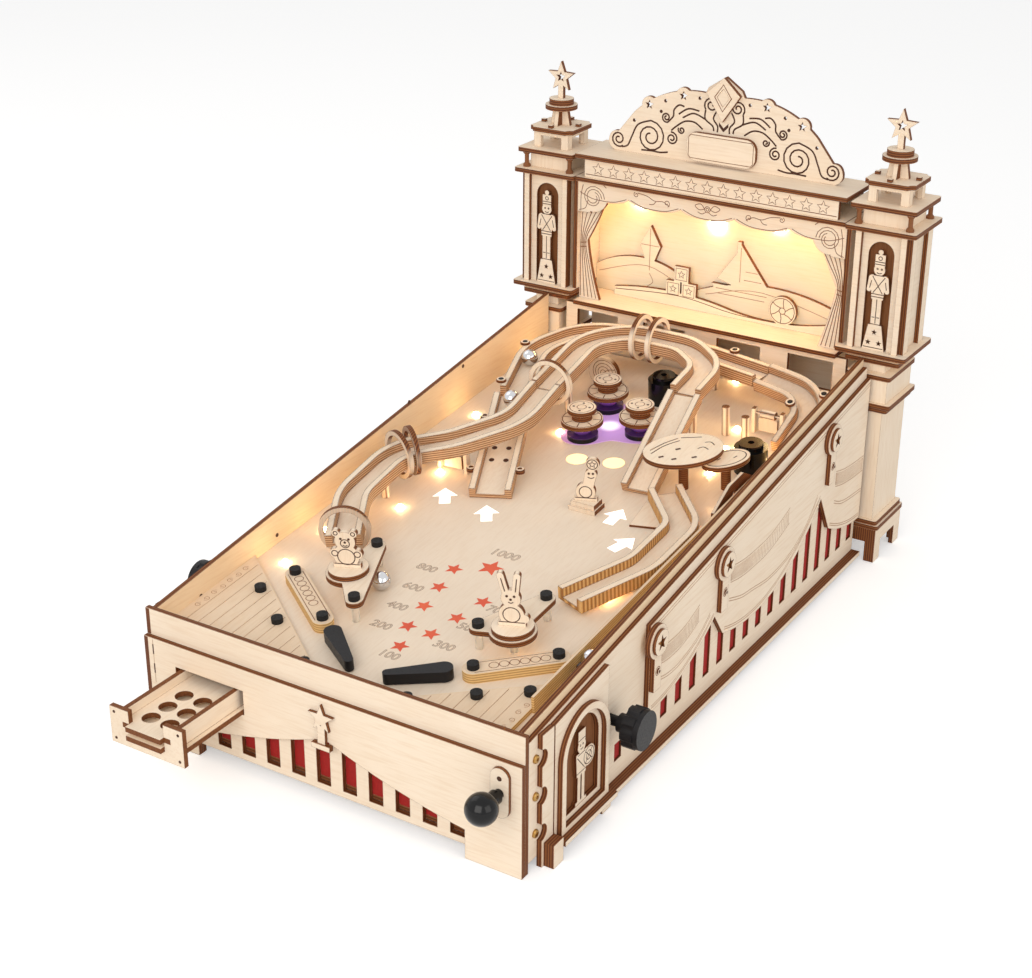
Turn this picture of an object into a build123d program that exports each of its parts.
"""Tabletop pinball game of laser-cut plywood, as an assembly of separate pieces.

Frame: millimetres, +Z up, +X to the right, the player stands on the -Y side.
The drawing is made about the cabinet's middle; on writing, every piece is moved so
that the origin is on the table, under the middle of the overall box.
"""

import math
import os

from build123d import *

# Sheet stock
PLY = 3.0
CARD = 0.8
THIN = 2.0

# Cabinet
FRONT_Y = -232.0
REAR_Y = 232.0
HALF_INSIDE = 116.0
FRONT_HEIGHT = 82.0
REAR_HEIGHT = 142.0
WALL_REAR_Y = 184.0
WALL_BOTTOM = 6.0
FLOOR_Z = 10.0
FOOT_INNER_X = 88.0
FRONT_HEM_Z = 6.0
DRAPE_TOP_FRONT = 66.0
SKIN_STEP = 5.0
DRAPE_STEP = 12.0
FRONT_SLOT_WIDTH = 9.0
SIDE_SLOT_WIDTH = 7.6
SLOT_BOTTOM = 18.0
FRONT_SLOTS = 10
FRONT_SLOT_PITCH = 17.0
FRONT_SLOT_START = -71.3
SIDE_SLOTS = 19
SIDE_SLOT_PITCH = 17.3
SIDE_SLOT_START = -135.4
DRAPE_START_Y = -108.0

# Layers across a side wall, from inside to outside
WALL_X = HALF_INSIDE
SKIN_X = WALL_X + PLY
DRAPE_X = SKIN_X + PLY
TRIM_X = DRAPE_X + PLY
CAB_HALF = SKIN_X + PLY

# Layers through the front, from outside to inside
PANEL_Y = FRONT_Y + PLY
INSIDE_Y = PANEL_Y + PLY

# Playfield board, sloping up to the back
PLAY_SLOPE = 5.5
PLAY_Z = 66.5
PLAY_END_Y = 186.0
BALL_D = 11.0
LANE_INNER_X = 104.4
LANE_GUIDE = 1.6
LANE_X = (LANE_INNER_X + HALF_INSIDE) / 2

# Towers and pedestals at the back
TOWER_X = 122.0
TOWER_Y = 208.0
TOWER_HALF = 17.0
TOWER_BASE_Z = 144.0
CAPITAL_Z = 225.0
STAR_TIP_Z = 299.0
PEDESTAL_HALF_X = 11.0
PEDESTAL_HALF_Y = 20.0

# Stage between the towers
STAGE_HALF = 98.0
STAGE_FLOOR_Z = 137.0
STAGE_FRONT_Y = 187.0
HEADER_TOP_Z = 241.0
SCENE_Y = 222.0
VALANCE_Y = 191.0
PEDIMENT_Y = 209.0
PEDIMENT_TOP_Z = 303.0

# Flippers
FLIPPER_MID_X = 11.0
FLIPPER_SPREAD = 36.0
FLIPPER_V = 44.0
FLIPPER_LENGTH = 29.5
FLIPPER_ROOT_R = 5.0
FLIPPER_TIP_R = 2.6
FLIPPER_THICK = 6.4
FLIPPER_DROOP = 37.0
SHAFT_R = 2.0
CRANK_R = 7.0
CRANK_START = 25.0
RUN_FIT = 0.06

# Side buttons: height and distance along the wall, left and right
LEFT_BUTTON_Y = -160.0
LEFT_BUTTON_Z = 63.0
RIGHT_BUTTON_Y = -146.0
RIGHT_BUTTON_Z = 49.0
BUTTON_STEM = {"left": 3.4, "right": 5.8}
BUTTON_HEAD = {"left": 6.0, "right": 10.0}
BUTTON_R = 11.6
BUTTON_ROD_R = 3.0
BUTTON_TRAVEL = 6.0

# Plunger
PLUNGER_X = 110.0
PLUNGER_Z = 48.5
PLUNGER_R = 2.5
KNOB_R = 8.6
KNOB_Y = -250.0
PLUNGER_PULL = 20.0
SPRING_R = 4.3
SPRING_WIRE = 0.8
SPRING_TURNS = 7
STRIKER_Y = -156.0
STRIKER_HALF = 2.0

# Ball drawer, drawn out as it stands in use
DRAWER_X = -77.0
DRAWER_HALF = 23.0
DRAWER_Z = 38.0
DRAWER_TOP = 52.0
DRAWER_FRONT_Y = -285.0
DRAWER_LENGTH = 74.0
DRAWER_GAP = 0.5
DRAWER_HOLE_R = 5.0
DRAWER_LEDGE = 3.0
TRAY_DEPTH = 5.5
HANDLE_LOW = 32.0
HANDLE_RISE = 2.0
GRIP_HALF = 12.0

# Raised tracks, measured square to the board
TRACK_WIDTH = 21.0
TRACK_WALL = 4.0
TRACK_WALL_H = 5.5
TRACK_FLOOR = 2.4
OUTER_LOOP_H = 20.0
INNER_LOOP_H = 30.0
RIGHT_TRACK_H = 5.0

os.makedirs("parts", exist_ok=True)


# Drawing helpers
def block(x0, x1, y0, y1, z0, z1):
    """A box from its two corners."""
    middle = Pos((x0 + x1) / 2, (y0 + y1) / 2, (z0 + z1) / 2)
    return middle * Box(x1 - x0, y1 - y0, z1 - z0)


def outline(*points):
    """A flat face from absolute corner points."""
    return make_face(Polyline(*points, close=True))


def rect(x0, x1, y0, y1):
    """A flat rectangle from its two corners."""
    return Pos((x0 + x1) / 2, (y0 + y1) / 2) * Rectangle(x1 - x0, y1 - y0)


def disc(x, y, r):
    """A flat circle at a place."""
    return Pos(x, y) * Circle(r)


def star(x, y, r, inner=0.42, points=5, turn=90.0):
    """A flat star with its first point at the angle turn."""
    corners = []
    for i in range(2 * points):
        size = r if i % 2 == 0 else r * inner
        angle = math.radians(turn + i * 180.0 / points)
        corners.append((x + size * math.cos(angle), y + size * math.sin(angle)))
    return outline(*corners)


def capsule(p, q, r):
    """A flat bar with round ends between two points."""
    length = math.dist(p, q)
    angle = math.degrees(math.atan2(q[1] - p[1], q[0] - p[0]))
    middle = Pos((p[0] + q[0]) / 2, (p[1] + q[1]) / 2)
    return middle * Rot(0, 0, angle) * SlotCenterToCenter(length, 2 * r)


def facing_front(sketch, y0, thick=PLY):
    """A plate that faces the player, from y0 towards the back."""
    return extrude(Plane.XZ.offset(-(y0 + thick)) * sketch, amount=thick)


def facing_side(sketch, x0, thick=PLY):
    """A plate that faces right, from x0 outwards. Sketch axes are Y and Z."""
    return extrude(Plane.YZ.offset(x0) * sketch, amount=thick)


def lying(sketch, z0, thick=PLY):
    """A level plate, from z0 upwards."""
    return extrude(Plane.XY.offset(z0) * sketch, amount=thick)


def both_sides(piece):
    """The right-hand piece and its mirror image on the left."""
    return [piece, mirror(piece, about=Plane.YZ)]


SLOPE = math.radians(PLAY_SLOPE)
BOARD = Plane(
    origin=(0, FRONT_Y, PLAY_Z),
    x_dir=(1, 0, 0),
    z_dir=(0, -math.sin(SLOPE), math.cos(SLOPE)),
)


def on_board(sketch, h0, thick):
    """A plate parallel to the playfield, h0 above it. Sketch axes are X and V,
    where V is the distance up the board from the cabinet's front face."""
    return extrude(BOARD.offset(h0) * sketch, amount=thick)


def board_z(y):
    """Height of the playfield's top face at a distance along the cabinet."""
    return PLAY_Z + math.tan(SLOPE) * (y - FRONT_Y)


def board_at(x, v, h):
    """A point above the board, in the cabinet's frame."""
    return BOARD.from_local_coords(Vector(x, v, h))


def write(name, pieces):
    """Write one node, a single solid or a group of separate solids."""
    pieces = pieces if isinstance(pieces, list) else [pieces]
    shift = Pos(0, -(DRAWER_FRONT_Y + REAR_Y) / 2, 0)
    solids = [shift * s for piece in pieces for s in piece.solids()]
    export_step(Compound(children=solids) if len(solids) > 1 else solids[0], f"parts/{name}.step")


def wall_top(y):
    """Height of the side wall's top edge."""
    rise = (REAR_HEIGHT - FRONT_HEIGHT) / (WALL_REAR_Y - INSIDE_Y)
    return FRONT_HEIGHT + rise * (y - INSIDE_Y)


# Cabinet floor
BASE_REAR_HALF = 105.0
base_face = rect(-HALF_INSIDE, HALF_INSIDE, INSIDE_Y, WALL_REAR_Y)
base_face += rect(-BASE_REAR_HALF, BASE_REAR_HALF, INSIDE_Y, REAR_Y - 2 * PLY)
base_board = lying(base_face, FLOOR_Z)

# Front: a slotted panel on two feet, an applied drape and its emblem
slot_xs = [FRONT_SLOT_START + FRONT_SLOT_PITCH * i for i in range(FRONT_SLOTS)]
FRONT_SLOT_TOP = 46.0
DRAWER_OPENING = rect(
    DRAWER_X - DRAWER_HALF - DRAWER_GAP,
    DRAWER_X + DRAWER_HALF + DRAWER_GAP,
    DRAWER_Z - DRAWER_GAP,
    DRAWER_TOP + DRAWER_GAP,
)
PLUNGER_HOLE = disc(PLUNGER_X, PLUNGER_Z, PLUNGER_R + RUN_FIT)
panel_face = outline(
    (-CAB_HALF, 0),
    (-FOOT_INNER_X, 0),
    (-FOOT_INNER_X, FRONT_HEM_Z),
    (FOOT_INNER_X, FRONT_HEM_Z),
    (FOOT_INNER_X, 0),
    (CAB_HALF, 0),
    (CAB_HALF, FRONT_HEIGHT),
    (-CAB_HALF, FRONT_HEIGHT),
)
for x in slot_xs:
    under_drawer = x - FRONT_SLOT_WIDTH / 2 < DRAWER_X + DRAWER_HALF + PLY
    slot_top = DRAWER_Z - 2 * PLY if under_drawer else FRONT_SLOT_TOP
    panel_face -= rect(x - FRONT_SLOT_WIDTH / 2, x + FRONT_SLOT_WIDTH / 2, FRONT_HEM_Z + 4, slot_top)
panel_face -= DRAWER_OPENING
panel_face -= PLUNGER_HOLE
front_panel = facing_front(panel_face, PANEL_Y)

DRAPE_PEAK = 41.0
DRAPE_LOW = 17.5
DRAPE_SAG = 26.5
drape_hem = [
    Line((-CAB_HALF, DRAPE_TOP_FRONT), (-CAB_HALF, 0)),
    Line((-CAB_HALF, 0), (-FOOT_INNER_X, 0)),
    Line((-FOOT_INNER_X, 0), (-FOOT_INNER_X, DRAPE_LOW)),
    ThreePointArc((-FOOT_INNER_X, DRAPE_LOW), (-FOOT_INNER_X / 2, DRAPE_SAG), (0, DRAPE_PEAK)),
    ThreePointArc((0, DRAPE_PEAK), (FOOT_INNER_X / 2, DRAPE_SAG), (FOOT_INNER_X, DRAPE_LOW)),
    Line((FOOT_INNER_X, DRAPE_LOW), (FOOT_INNER_X, 0)),
    Line((FOOT_INNER_X, 0), (CAB_HALF, 0)),
    Line((CAB_HALF, 0), (CAB_HALF, DRAPE_TOP_FRONT)),
    Line((CAB_HALF, DRAPE_TOP_FRONT), (-CAB_HALF, DRAPE_TOP_FRONT)),
]
drape_face = make_face(drape_hem)
drape_face -= DRAWER_OPENING
drape_face -= PLUNGER_HOLE
front_drape = facing_front(drape_face, FRONT_Y)
EMBLEM_Z = 54.0
emblem_face = star(0, EMBLEM_Z, 8.5)
emblem_face += rect(-2.5, 2.5, DRAPE_PEAK - 2, EMBLEM_Z - 4)
front_emblem = facing_front(emblem_face, FRONT_Y - THIN, THIN)
emblem_shelf = facing_front(rect(-6, 6, DRAPE_PEAK - 5, DRAPE_PEAK - 2), FRONT_Y - PLY, PLY)
guide_face = capsule((PLUNGER_X, PLUNGER_Z - 9), (PLUNGER_X, PLUNGER_Z + 9), 5.5)
guide_face -= PLUNGER_HOLE
plunger_plate = facing_front(guide_face, FRONT_Y - THIN, THIN)

# Side walls: an inner wall, a slotted skin and an applied drape
wall_face = outline(
    (INSIDE_Y, WALL_BOTTOM),
    (WALL_REAR_Y, WALL_BOTTOM),
    (WALL_REAR_Y, wall_top(WALL_REAR_Y)),
    (INSIDE_Y, wall_top(INSIDE_Y)),
)


def button_hole(side):
    """Centre of the button's hole, on the sketch of a side plate."""
    if side == "left":
        return (LEFT_BUTTON_Y, LEFT_BUTTON_Z)
    return (RIGHT_BUTTON_Y, RIGHT_BUTTON_Z)


def drilled(face, side, r):
    """A side plate's face with the hole for that side's button rod."""
    hole = button_hole(side)
    return face - disc(hole[0], hole[1], r)


right_wall = facing_side(drilled(wall_face, "right", BUTTON_ROD_R + RUN_FIT), WALL_X)
left_wall = facing_side(drilled(wall_face, "left", BUTTON_ROD_R + RUN_FIT), -WALL_X - PLY)

slot_ys = [SIDE_SLOT_START + SIDE_SLOT_PITCH * i for i in range(SIDE_SLOTS)]
MEDALLION_YS = [-104.0, -24.0, 124.0]
SWAGS = [
    ((-106.0, 32.0), (-68.0, 37.8), (-30.0, 56.5)),
    ((-18.0, 40.0), (30.0, 33.5), (116.0, 72.0)),
    ((132.0, 45.0), (158.0, 35.0), (WALL_REAR_Y, 31.5)),
]


def hem_height(y):
    """Height of the drape's lower edge: a parabola through each swag, a straight run between swags."""
    last_y, last_z = SWAGS[0][0]
    for (ya, za), (yb, zb), (yc, zc) in SWAGS:
        if last_y < y < ya:
            return last_z + (za - last_z) * (y - last_y) / (ya - last_y)
        if ya <= y <= yc:
            la = (y - yb) * (y - yc) / ((ya - yb) * (ya - yc))
            lb = (y - ya) * (y - yc) / ((yb - ya) * (yb - yc))
            lc = (y - ya) * (y - yb) / ((yc - ya) * (yc - yb))
            return za * la + zb * lb + zc * lc
        last_y, last_z = yc, zc
    return SWAGS[0][0][1]


skin_face = outline(
    (INSIDE_Y, WALL_BOTTOM),
    (WALL_REAR_Y, WALL_BOTTOM),
    (WALL_REAR_Y, wall_top(WALL_REAR_Y) - SKIN_STEP),
    (INSIDE_Y, wall_top(INSIDE_Y) - SKIN_STEP),
)
for y in slot_ys:
    top = max(hem_height(y), SLOT_BOTTOM + 8) + 5 if y > DRAPE_START_Y else SLOT_BOTTOM + 11
    skin_face -= rect(y - SIDE_SLOT_WIDTH / 2, y + SIDE_SLOT_WIDTH / 2, SLOT_BOTTOM, top)
right_skin = facing_side(drilled(skin_face, "right", BUTTON_ROD_R + RUN_FIT), SKIN_X)
left_skin = facing_side(drilled(skin_face, "left", BUTTON_ROD_R + RUN_FIT), -SKIN_X - PLY)

drape_edges = [Line((DRAPE_START_Y, SWAGS[0][0][1]), SWAGS[0][0])]
for i, swag in enumerate(SWAGS):
    drape_edges.append(ThreePointArc(*swag))
    if i < len(SWAGS) - 1:
        drape_edges.append(Line(swag[2], SWAGS[i + 1][0]))
drape_top_front = (DRAPE_START_Y, wall_top(DRAPE_START_Y) - DRAPE_STEP)
drape_top_rear = (WALL_REAR_Y, wall_top(WALL_REAR_Y) - DRAPE_STEP)
drape_edges.append(Line(SWAGS[-1][2], drape_top_rear))
drape_edges.append(Line(drape_top_rear, drape_top_front))
drape_edges.append(Line(drape_top_front, (DRAPE_START_Y, SWAGS[0][0][1])))
side_drape_face = make_face(drape_edges)
side_drapes = both_sides(facing_side(side_drape_face, DRAPE_X))

MEDALLION_R = 10.0
COLUMN_HALF = 4.0
COLUMN_DROP = 30.0


def medallion(y):
    """A rosette with a cut star on a hanging column, in two layers."""
    z = wall_top(y) - DRAPE_STEP - MEDALLION_R - 1
    lower = disc(y, z, MEDALLION_R) + rect(y - COLUMN_HALF, y + COLUMN_HALF, z - COLUMN_DROP, z)
    upper = disc(y, z, MEDALLION_R - 2.5)
    upper -= star(y, z, 5.0)
    button = disc(y, z - COLUMN_DROP + 12, 1.6)
    return [
        facing_side(lower, TRIM_X),
        facing_side(upper, TRIM_X + PLY, THIN),
        facing_side(button, TRIM_X + PLY, 1.0),
    ]


right_medallions = [piece for y in MEDALLION_YS for piece in medallion(y)]
left_medallions = [mirror(piece, about=Plane.YZ) for piece in right_medallions]

# Front corners: a notched strip, an arched niche and its foot
STRIP_Y0 = -218.0
STRIP_Y1 = -207.0
NICHE_Y0 = -206.0
NICHE_Y1 = -152.5
NICHE_Z0 = 11.0
NICHE_MID_Y = (NICHE_Y0 + NICHE_Y1) / 2
NICHE_OPEN = 20.0
NICHE_SPRING_Z = 52.0
SCREW_Y = -220.0
SCREW_ZS = [65.0, 43.0, 21.0]
SCREW_R = 2.4
strip_face = rect(STRIP_Y0, STRIP_Y1, 0, wall_top(STRIP_Y0) - SKIN_STEP)
for z in SCREW_ZS:
    strip_face -= disc(STRIP_Y0, z, 5.0)


def arched(half, z0, spring_z):
    """An opening with an arched head, at the niche's middle."""
    shape = rect(NICHE_MID_Y - half, NICHE_MID_Y + half, z0, spring_z)
    return shape + disc(NICHE_MID_Y, spring_z, half)


niche_outer = outline(
    (NICHE_Y0, NICHE_Z0),
    (NICHE_Y1, NICHE_Z0),
    (NICHE_Y1, wall_top(NICHE_Y1) - SKIN_STEP - 2),
    (NICHE_Y0, wall_top(NICHE_Y0) - SKIN_STEP - 2),
)
inner_frame = niche_outer - arched(NICHE_OPEN - 3, NICHE_Z0 + 6, NICHE_SPRING_Z)
outer_frame = arched(NICHE_OPEN + 4, NICHE_Z0, NICHE_SPRING_Z)
outer_frame -= arched(NICHE_OPEN, NICHE_Z0 + 3, NICHE_SPRING_Z)
niche_back_face = arched(NICHE_OPEN - 3.2, NICHE_Z0 + 6.2, NICHE_SPRING_Z)
corner_layers = [(strip_face, DRAPE_X), (inner_frame, DRAPE_X), (outer_frame, TRIM_X)]
corner_niches = []
for face, x in corner_layers:
    corner_niches.append(facing_side(face, x))
    corner_niches.append(facing_side(drilled(face, "left", BUTTON_ROD_R + 0.6), -x - PLY))
niche_backs = both_sides(facing_side(niche_back_face, DRAPE_X, 0.6))

SCREW_HEAD = 1.4
screws = []
for z in SCREW_ZS:
    screws += both_sides(facing_side(disc(SCREW_Y, z, SCREW_R), DRAPE_X, SCREW_HEAD))


def drummer_face(y, z):
    """Silhouette of a toy drummer standing at a place, feet on z."""
    shape = rect(y - 5.5, y + 5.5, z, z + 2)
    shape += rect(y - 3.5, y - 0.6, z + 1.5, z + 18)
    shape += rect(y + 0.6, y + 3.5, z + 1.5, z + 18)
    shape += outline((y - 4.5, z + 17), (y + 4.5, z + 17), (y + 5.5, z + 31), (y - 5.5, z + 31))
    shape += disc(y, z + 34.5, 4.0)
    shape += rect(y - 3.6, y + 3.6, z + 37, z + 44)
    shape += disc(y + 7.5, z + 25, 6.0)
    return shape


niche_figures = both_sides(facing_side(drummer_face(NICHE_MID_Y, NICHE_Z0 + 6), DRAPE_X + 0.9, THIN))

# Plinth strips along the sides and the niche's foot
STRIP_DROP = 4.0
strip_edge = rect(NICHE_Y1 + 0.5, WALL_REAR_Y, STRIP_DROP, STRIP_DROP + PLY)
plinth = facing_side(strip_edge, DRAPE_X, 2 * PLY)
niche_foot = block(DRAPE_X, TRIM_X + PLY + 4, NICHE_Y0, NICHE_Y1, NICHE_Z0 - PLY, NICHE_Z0)
toe = facing_side(rect(STRIP_Y0 + 2, NICHE_Y0 - 0.5, 0, NICHE_Z0 + PLY), TRIM_X, 2 * PLY)
heel = facing_side(rect(NICHE_Y1 - 9, NICHE_Y1, 0, NICHE_Z0 - PLY), DRAPE_X, 2 * PLY)
plinth_strips = [piece for part in (plinth, niche_foot, toe, heel) for piece in both_sides(part)]

# Red card behind the slots, in front of the inner walls' openings
front_card = facing_front(
    rect(DRAWER_X + DRAWER_HALF + 2, FOOT_INNER_X + 4, FLOOR_Z + PLY, FRONT_SLOT_TOP + 4), INSIDE_Y, CARD
)
front_card_left = facing_front(
    rect(slot_xs[0] - 8, DRAWER_X + DRAWER_HALF + 2, FLOOR_Z + PLY, DRAWER_Z - 1), INSIDE_Y, CARD
)
red_backing = [front_card + front_card_left]

# Rear wall and the panel below the stage
rear_face = rect(-BASE_REAR_HALF, BASE_REAR_HALF, FLOOR_Z, STAGE_FLOOR_Z)
rear_face += rect(-STAGE_HALF + 0.5, STAGE_HALF - 0.5, FLOOR_Z, CAPITAL_Z)
rear_wall = facing_front(rear_face, REAR_Y - 2 * PLY)
UNDER_Y = 190.0
under_face = rect(-BASE_REAR_HALF, BASE_REAR_HALF, FLOOR_Z + PLY, STAGE_FLOOR_Z)
for x in (-80.0, -28.0, 28.0, 80.0):
    under_face -= rect(x - 16, x + 16, board_z(PLAY_END_Y) + 6, STAGE_FLOOR_Z - 4)
under_panel = facing_front(under_face, UNDER_Y)

# Pedestals and towers: level plates with box-shaped shafts between them
PEDESTAL_PLATES = [(24.0, 5.0), (27.0, 3.5), (107.0, 3.5), (110.0, 5.5), (129.0, 4.0)]
TOWER_PLATES = [
    (138.0, 18.5, 3.0),
    (TOWER_BASE_Z, 24.0, 3.0),
    (CAPITAL_Z, 23.5, 3.0),
    (239.0, 21.8, 3.0),
]


def column_box(half_x, half_y, z0, z1, wall=PLY):
    """A hollow square shaft on the right tower's axis."""
    outer = Pos(TOWER_X, TOWER_Y) * Rectangle(2 * half_x, 2 * half_y)
    inner = Pos(TOWER_X, TOWER_Y) * Rectangle(2 * (half_x - wall), 2 * (half_y - wall))
    return lying(outer - inner, z0, z1 - z0)


def deck(half_x, half_y, z0, thick=PLY, corner=2.0):
    """A level plate with round corners on the right tower's axis."""
    face = Pos(TOWER_X, TOWER_Y) * RectangleRounded(2 * half_x, 2 * half_y, corner)
    return lying(face, z0, thick)


foot = column_box(PEDESTAL_HALF_X + 4, PEDESTAL_HALF_Y + 2, 0, 24)
foot -= block(TOWER_X - 8, TOWER_X + 8, TOWER_Y - 40, TOWER_Y + 40, -1, 14)
foot -= block(TOWER_X - 40, TOWER_X + 40, TOWER_Y - 12, TOWER_Y + 12, -1, 14)
shaft = column_box(PEDESTAL_HALF_X, PEDESTAL_HALF_Y, 30, 107)
capital = column_box(PEDESTAL_HALF_X + 2, PEDESTAL_HALF_Y + 1, 113, 129)
neck = column_box(PEDESTAL_HALF_X - 2, PEDESTAL_HALF_Y - 4, 132, 138)
collar = column_box(TOWER_HALF, TOWER_HALF, 141, TOWER_BASE_Z)
pedestal_feet = both_sides(foot)
pedestals = [piece for part in (shaft, capital, neck, collar) for piece in both_sides(part)]
pedestal_plates = []
for z, margin in PEDESTAL_PLATES:
    plate = deck(PEDESTAL_HALF_X + margin, PEDESTAL_HALF_Y + margin / 2 + 0.5, z)
    pedestal_plates += both_sides(plate)

tower_decks = []
for z, half, thick in TOWER_PLATES:
    tower_decks += both_sides(deck(half, half, z, thick))
CROWN_HALF = 16.6
CROWN_Z = 253.0
crown_face = Rectangle(2 * CROWN_HALF, 2 * CROWN_HALF)
for dx in (-1, 1):
    for dy in (-1, 1):
        crown_face -= disc(dx * (CROWN_HALF + 1), dy * (CROWN_HALF + 1), 5.0)
crown = lying(Pos(TOWER_X, TOWER_Y) * crown_face, CROWN_Z)
tower_decks += both_sides(crown)
for dx, dy in ((0, 1), (1, 0), (0, -1), (-1, 0)):
    x = TOWER_X + dx * (CROWN_HALF - 3)
    y = TOWER_Y + dy * (CROWN_HALF - 3)
    tower_decks += both_sides(block(x - 1.5, x + 1.5, y - 1.5, y + 1.5, CROWN_Z + PLY, CROWN_Z + PLY + 2))
FINIAL_DISCS = [(267.0, 11.0, 3.0), (270.0, 8.4, 4.0)]
for z, r, thick in FINIAL_DISCS:
    tower_decks += both_sides(lying(disc(TOWER_X, TOWER_Y, r), z, thick))

TOWER_NICHE = 8.5
TOWER_SPRING_Z = 210.0
SHAFT_Z0 = TOWER_BASE_Z + PLY
face_front = TOWER_Y - TOWER_HALF
front_plate = rect(TOWER_X - TOWER_HALF, TOWER_X + TOWER_HALF, SHAFT_Z0, CAPITAL_Z)
niche_hole = rect(TOWER_X - TOWER_NICHE, TOWER_X + TOWER_NICHE, SHAFT_Z0, TOWER_SPRING_Z)
niche_hole += disc(TOWER_X, TOWER_SPRING_Z, TOWER_NICHE)
pilaster = rect(TOWER_X + TOWER_HALF - 4, TOWER_X + TOWER_HALF, SHAFT_Z0, CAPITAL_Z)
pilaster_in = rect(TOWER_X - TOWER_HALF, TOWER_X - TOWER_HALF + 4, SHAFT_Z0, CAPITAL_Z)
tower_front = [
    facing_front(front_plate - niche_hole, face_front),
    facing_front(pilaster, face_front - PLY),
    facing_front(pilaster_in, face_front - PLY),
    facing_front(front_plate, TOWER_Y + TOWER_HALF - PLY),
]
tower_faces = [piece for part in tower_front for piece in both_sides(part)]
side_plate = rect(face_front + PLY, TOWER_Y + TOWER_HALF - PLY, SHAFT_Z0, CAPITAL_Z)
side_strip = rect(TOWER_Y + TOWER_HALF - 8, TOWER_Y + TOWER_HALF, SHAFT_Z0, CAPITAL_Z)
side_strip_front = rect(face_front, face_front + 8, SHAFT_Z0, CAPITAL_Z)
tower_flank = [
    facing_side(side_plate, TOWER_X + TOWER_HALF - PLY),
    facing_side(side_plate, TOWER_X - TOWER_HALF),
    facing_side(side_strip, TOWER_X + TOWER_HALF),
    facing_side(side_strip_front, TOWER_X + TOWER_HALF),
]
STAGE_CHEEK_X = 98.0
stage_cheek = block(STAGE_CHEEK_X, STAGE_CHEEK_X + PLY, 191, 229, TOWER_BASE_Z + PLY, CAPITAL_Z)
tower_flank.append(stage_cheek)
tower_sides = [piece for part in tower_flank for piece in both_sides(part)]
dark_back = rect(TOWER_X - TOWER_HALF + PLY, TOWER_X + TOWER_HALF - PLY, SHAFT_Z0, CAPITAL_Z)
niche_backs += both_sides(facing_front(dark_back, face_front + PLY, CARD))
cap_box = column_box(15.0, 15.0, CAPITAL_Z + PLY, 239)
fret_box = column_box(13.5, 13.5, 242, CROWN_Z)
fret_box -= block(TOWER_X - 8, TOWER_X + 8, TOWER_Y - 40, TOWER_Y + 40, 241, 250)
fret_box -= block(TOWER_X - 40, TOWER_X + 40, TOWER_Y - 8, TOWER_Y + 8, 241, 250)
tower_caps = [piece for part in (cap_box, fret_box) for piece in both_sides(part)]


def soldier_face(x, z):
    """Silhouette of a toy soldier on a trapezium pedestal with three cut stars."""
    shape = outline((x - 7.5, z), (x + 7.5, z), (x + 4.5, z + 17), (x - 4.5, z + 17))
    for dx, dz in ((0.0, 12.0), (-3.6, 5.0), (3.6, 5.0)):
        shape -= star(x + dx, z + dz, 1.9)
    shape += rect(x - 3.2, x + 3.2, z + 16, z + 36)
    shape += outline((x - 4, z + 34), (x + 4, z + 34), (x + 5.2, z + 50), (x - 5.2, z + 50))
    shape += capsule((x - 5, z + 48), (x - 6, z + 40), 1.6)
    shape += capsule((x + 5, z + 48), (x + 6, z + 40), 1.6)
    shape += disc(x, z + 53.5, 3.8)
    shape += rect(x - 3.4, x + 3.4, z + 55.5, z + 63.5)
    shape += disc(x, z + 65, 1.7)
    return shape


tower_soldiers = both_sides(facing_front(soldier_face(TOWER_X, SHAFT_Z0), face_front - 1.0, THIN))

NECK_Z0 = 256.0
NECK_Z1 = FINIAL_DISCS[0][0]
neck_front = outline(
    (TOWER_X - 7.5, NECK_Z0),
    (TOWER_X + 7.5, NECK_Z0),
    (TOWER_X + 5.5, NECK_Z1),
    (TOWER_X - 5.5, NECK_Z1),
)
neck_side = outline(
    (TOWER_Y - 7.5, NECK_Z0),
    (TOWER_Y + 7.5, NECK_Z0),
    (TOWER_Y + 5.5, NECK_Z1),
    (TOWER_Y - 5.5, NECK_Z1),
)
neck_cross = facing_front(neck_front, TOWER_Y - PLY / 2) + facing_side(neck_side, TOWER_X - PLY / 2)
finial_necks = both_sides(neck_cross)
STAR_R = 10.5
star_z = STAR_TIP_Z - STAR_R
star_face = star(TOWER_X, star_z, STAR_R) + rect(TOWER_X - 2, TOWER_X + 2, 274, star_z - 3)
star_face -= star(TOWER_X, star_z, 3.6)
finial_stars = both_sides(facing_front(star_face, TOWER_Y - PLY / 2))

# Stage between the towers
stage_depth = REAR_Y - 2 * PLY
stage_floor = lying(rect(-STAGE_HALF, STAGE_HALF, STAGE_FRONT_Y, stage_depth), STAGE_FLOOR_Z)
header_low = lying(rect(-STAGE_HALF, STAGE_HALF, STAGE_FRONT_Y, REAR_Y - PLY), CAPITAL_Z)
header_top = lying(rect(-STAGE_HALF, STAGE_HALF, STAGE_FRONT_Y - 1, REAR_Y - PLY), HEADER_TOP_Z)
stage_shelves = [stage_floor, header_low, header_top]
BAND_HALF = 92.0
star_band = facing_front(rect(-BAND_HALF, BAND_HALF, CAPITAL_Z + PLY, HEADER_TOP_Z), STAGE_FRONT_Y + 2)
band_back = facing_front(rect(-BAND_HALF, BAND_HALF, CAPITAL_Z + PLY, HEADER_TOP_Z), REAR_Y - 2 * PLY)
STAGE_Z0 = STAGE_FLOOR_Z + PLY
stage_back = facing_front(rect(-STAGE_HALF, STAGE_HALF, STAGE_Z0, CAPITAL_Z), SCENE_Y)

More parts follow.
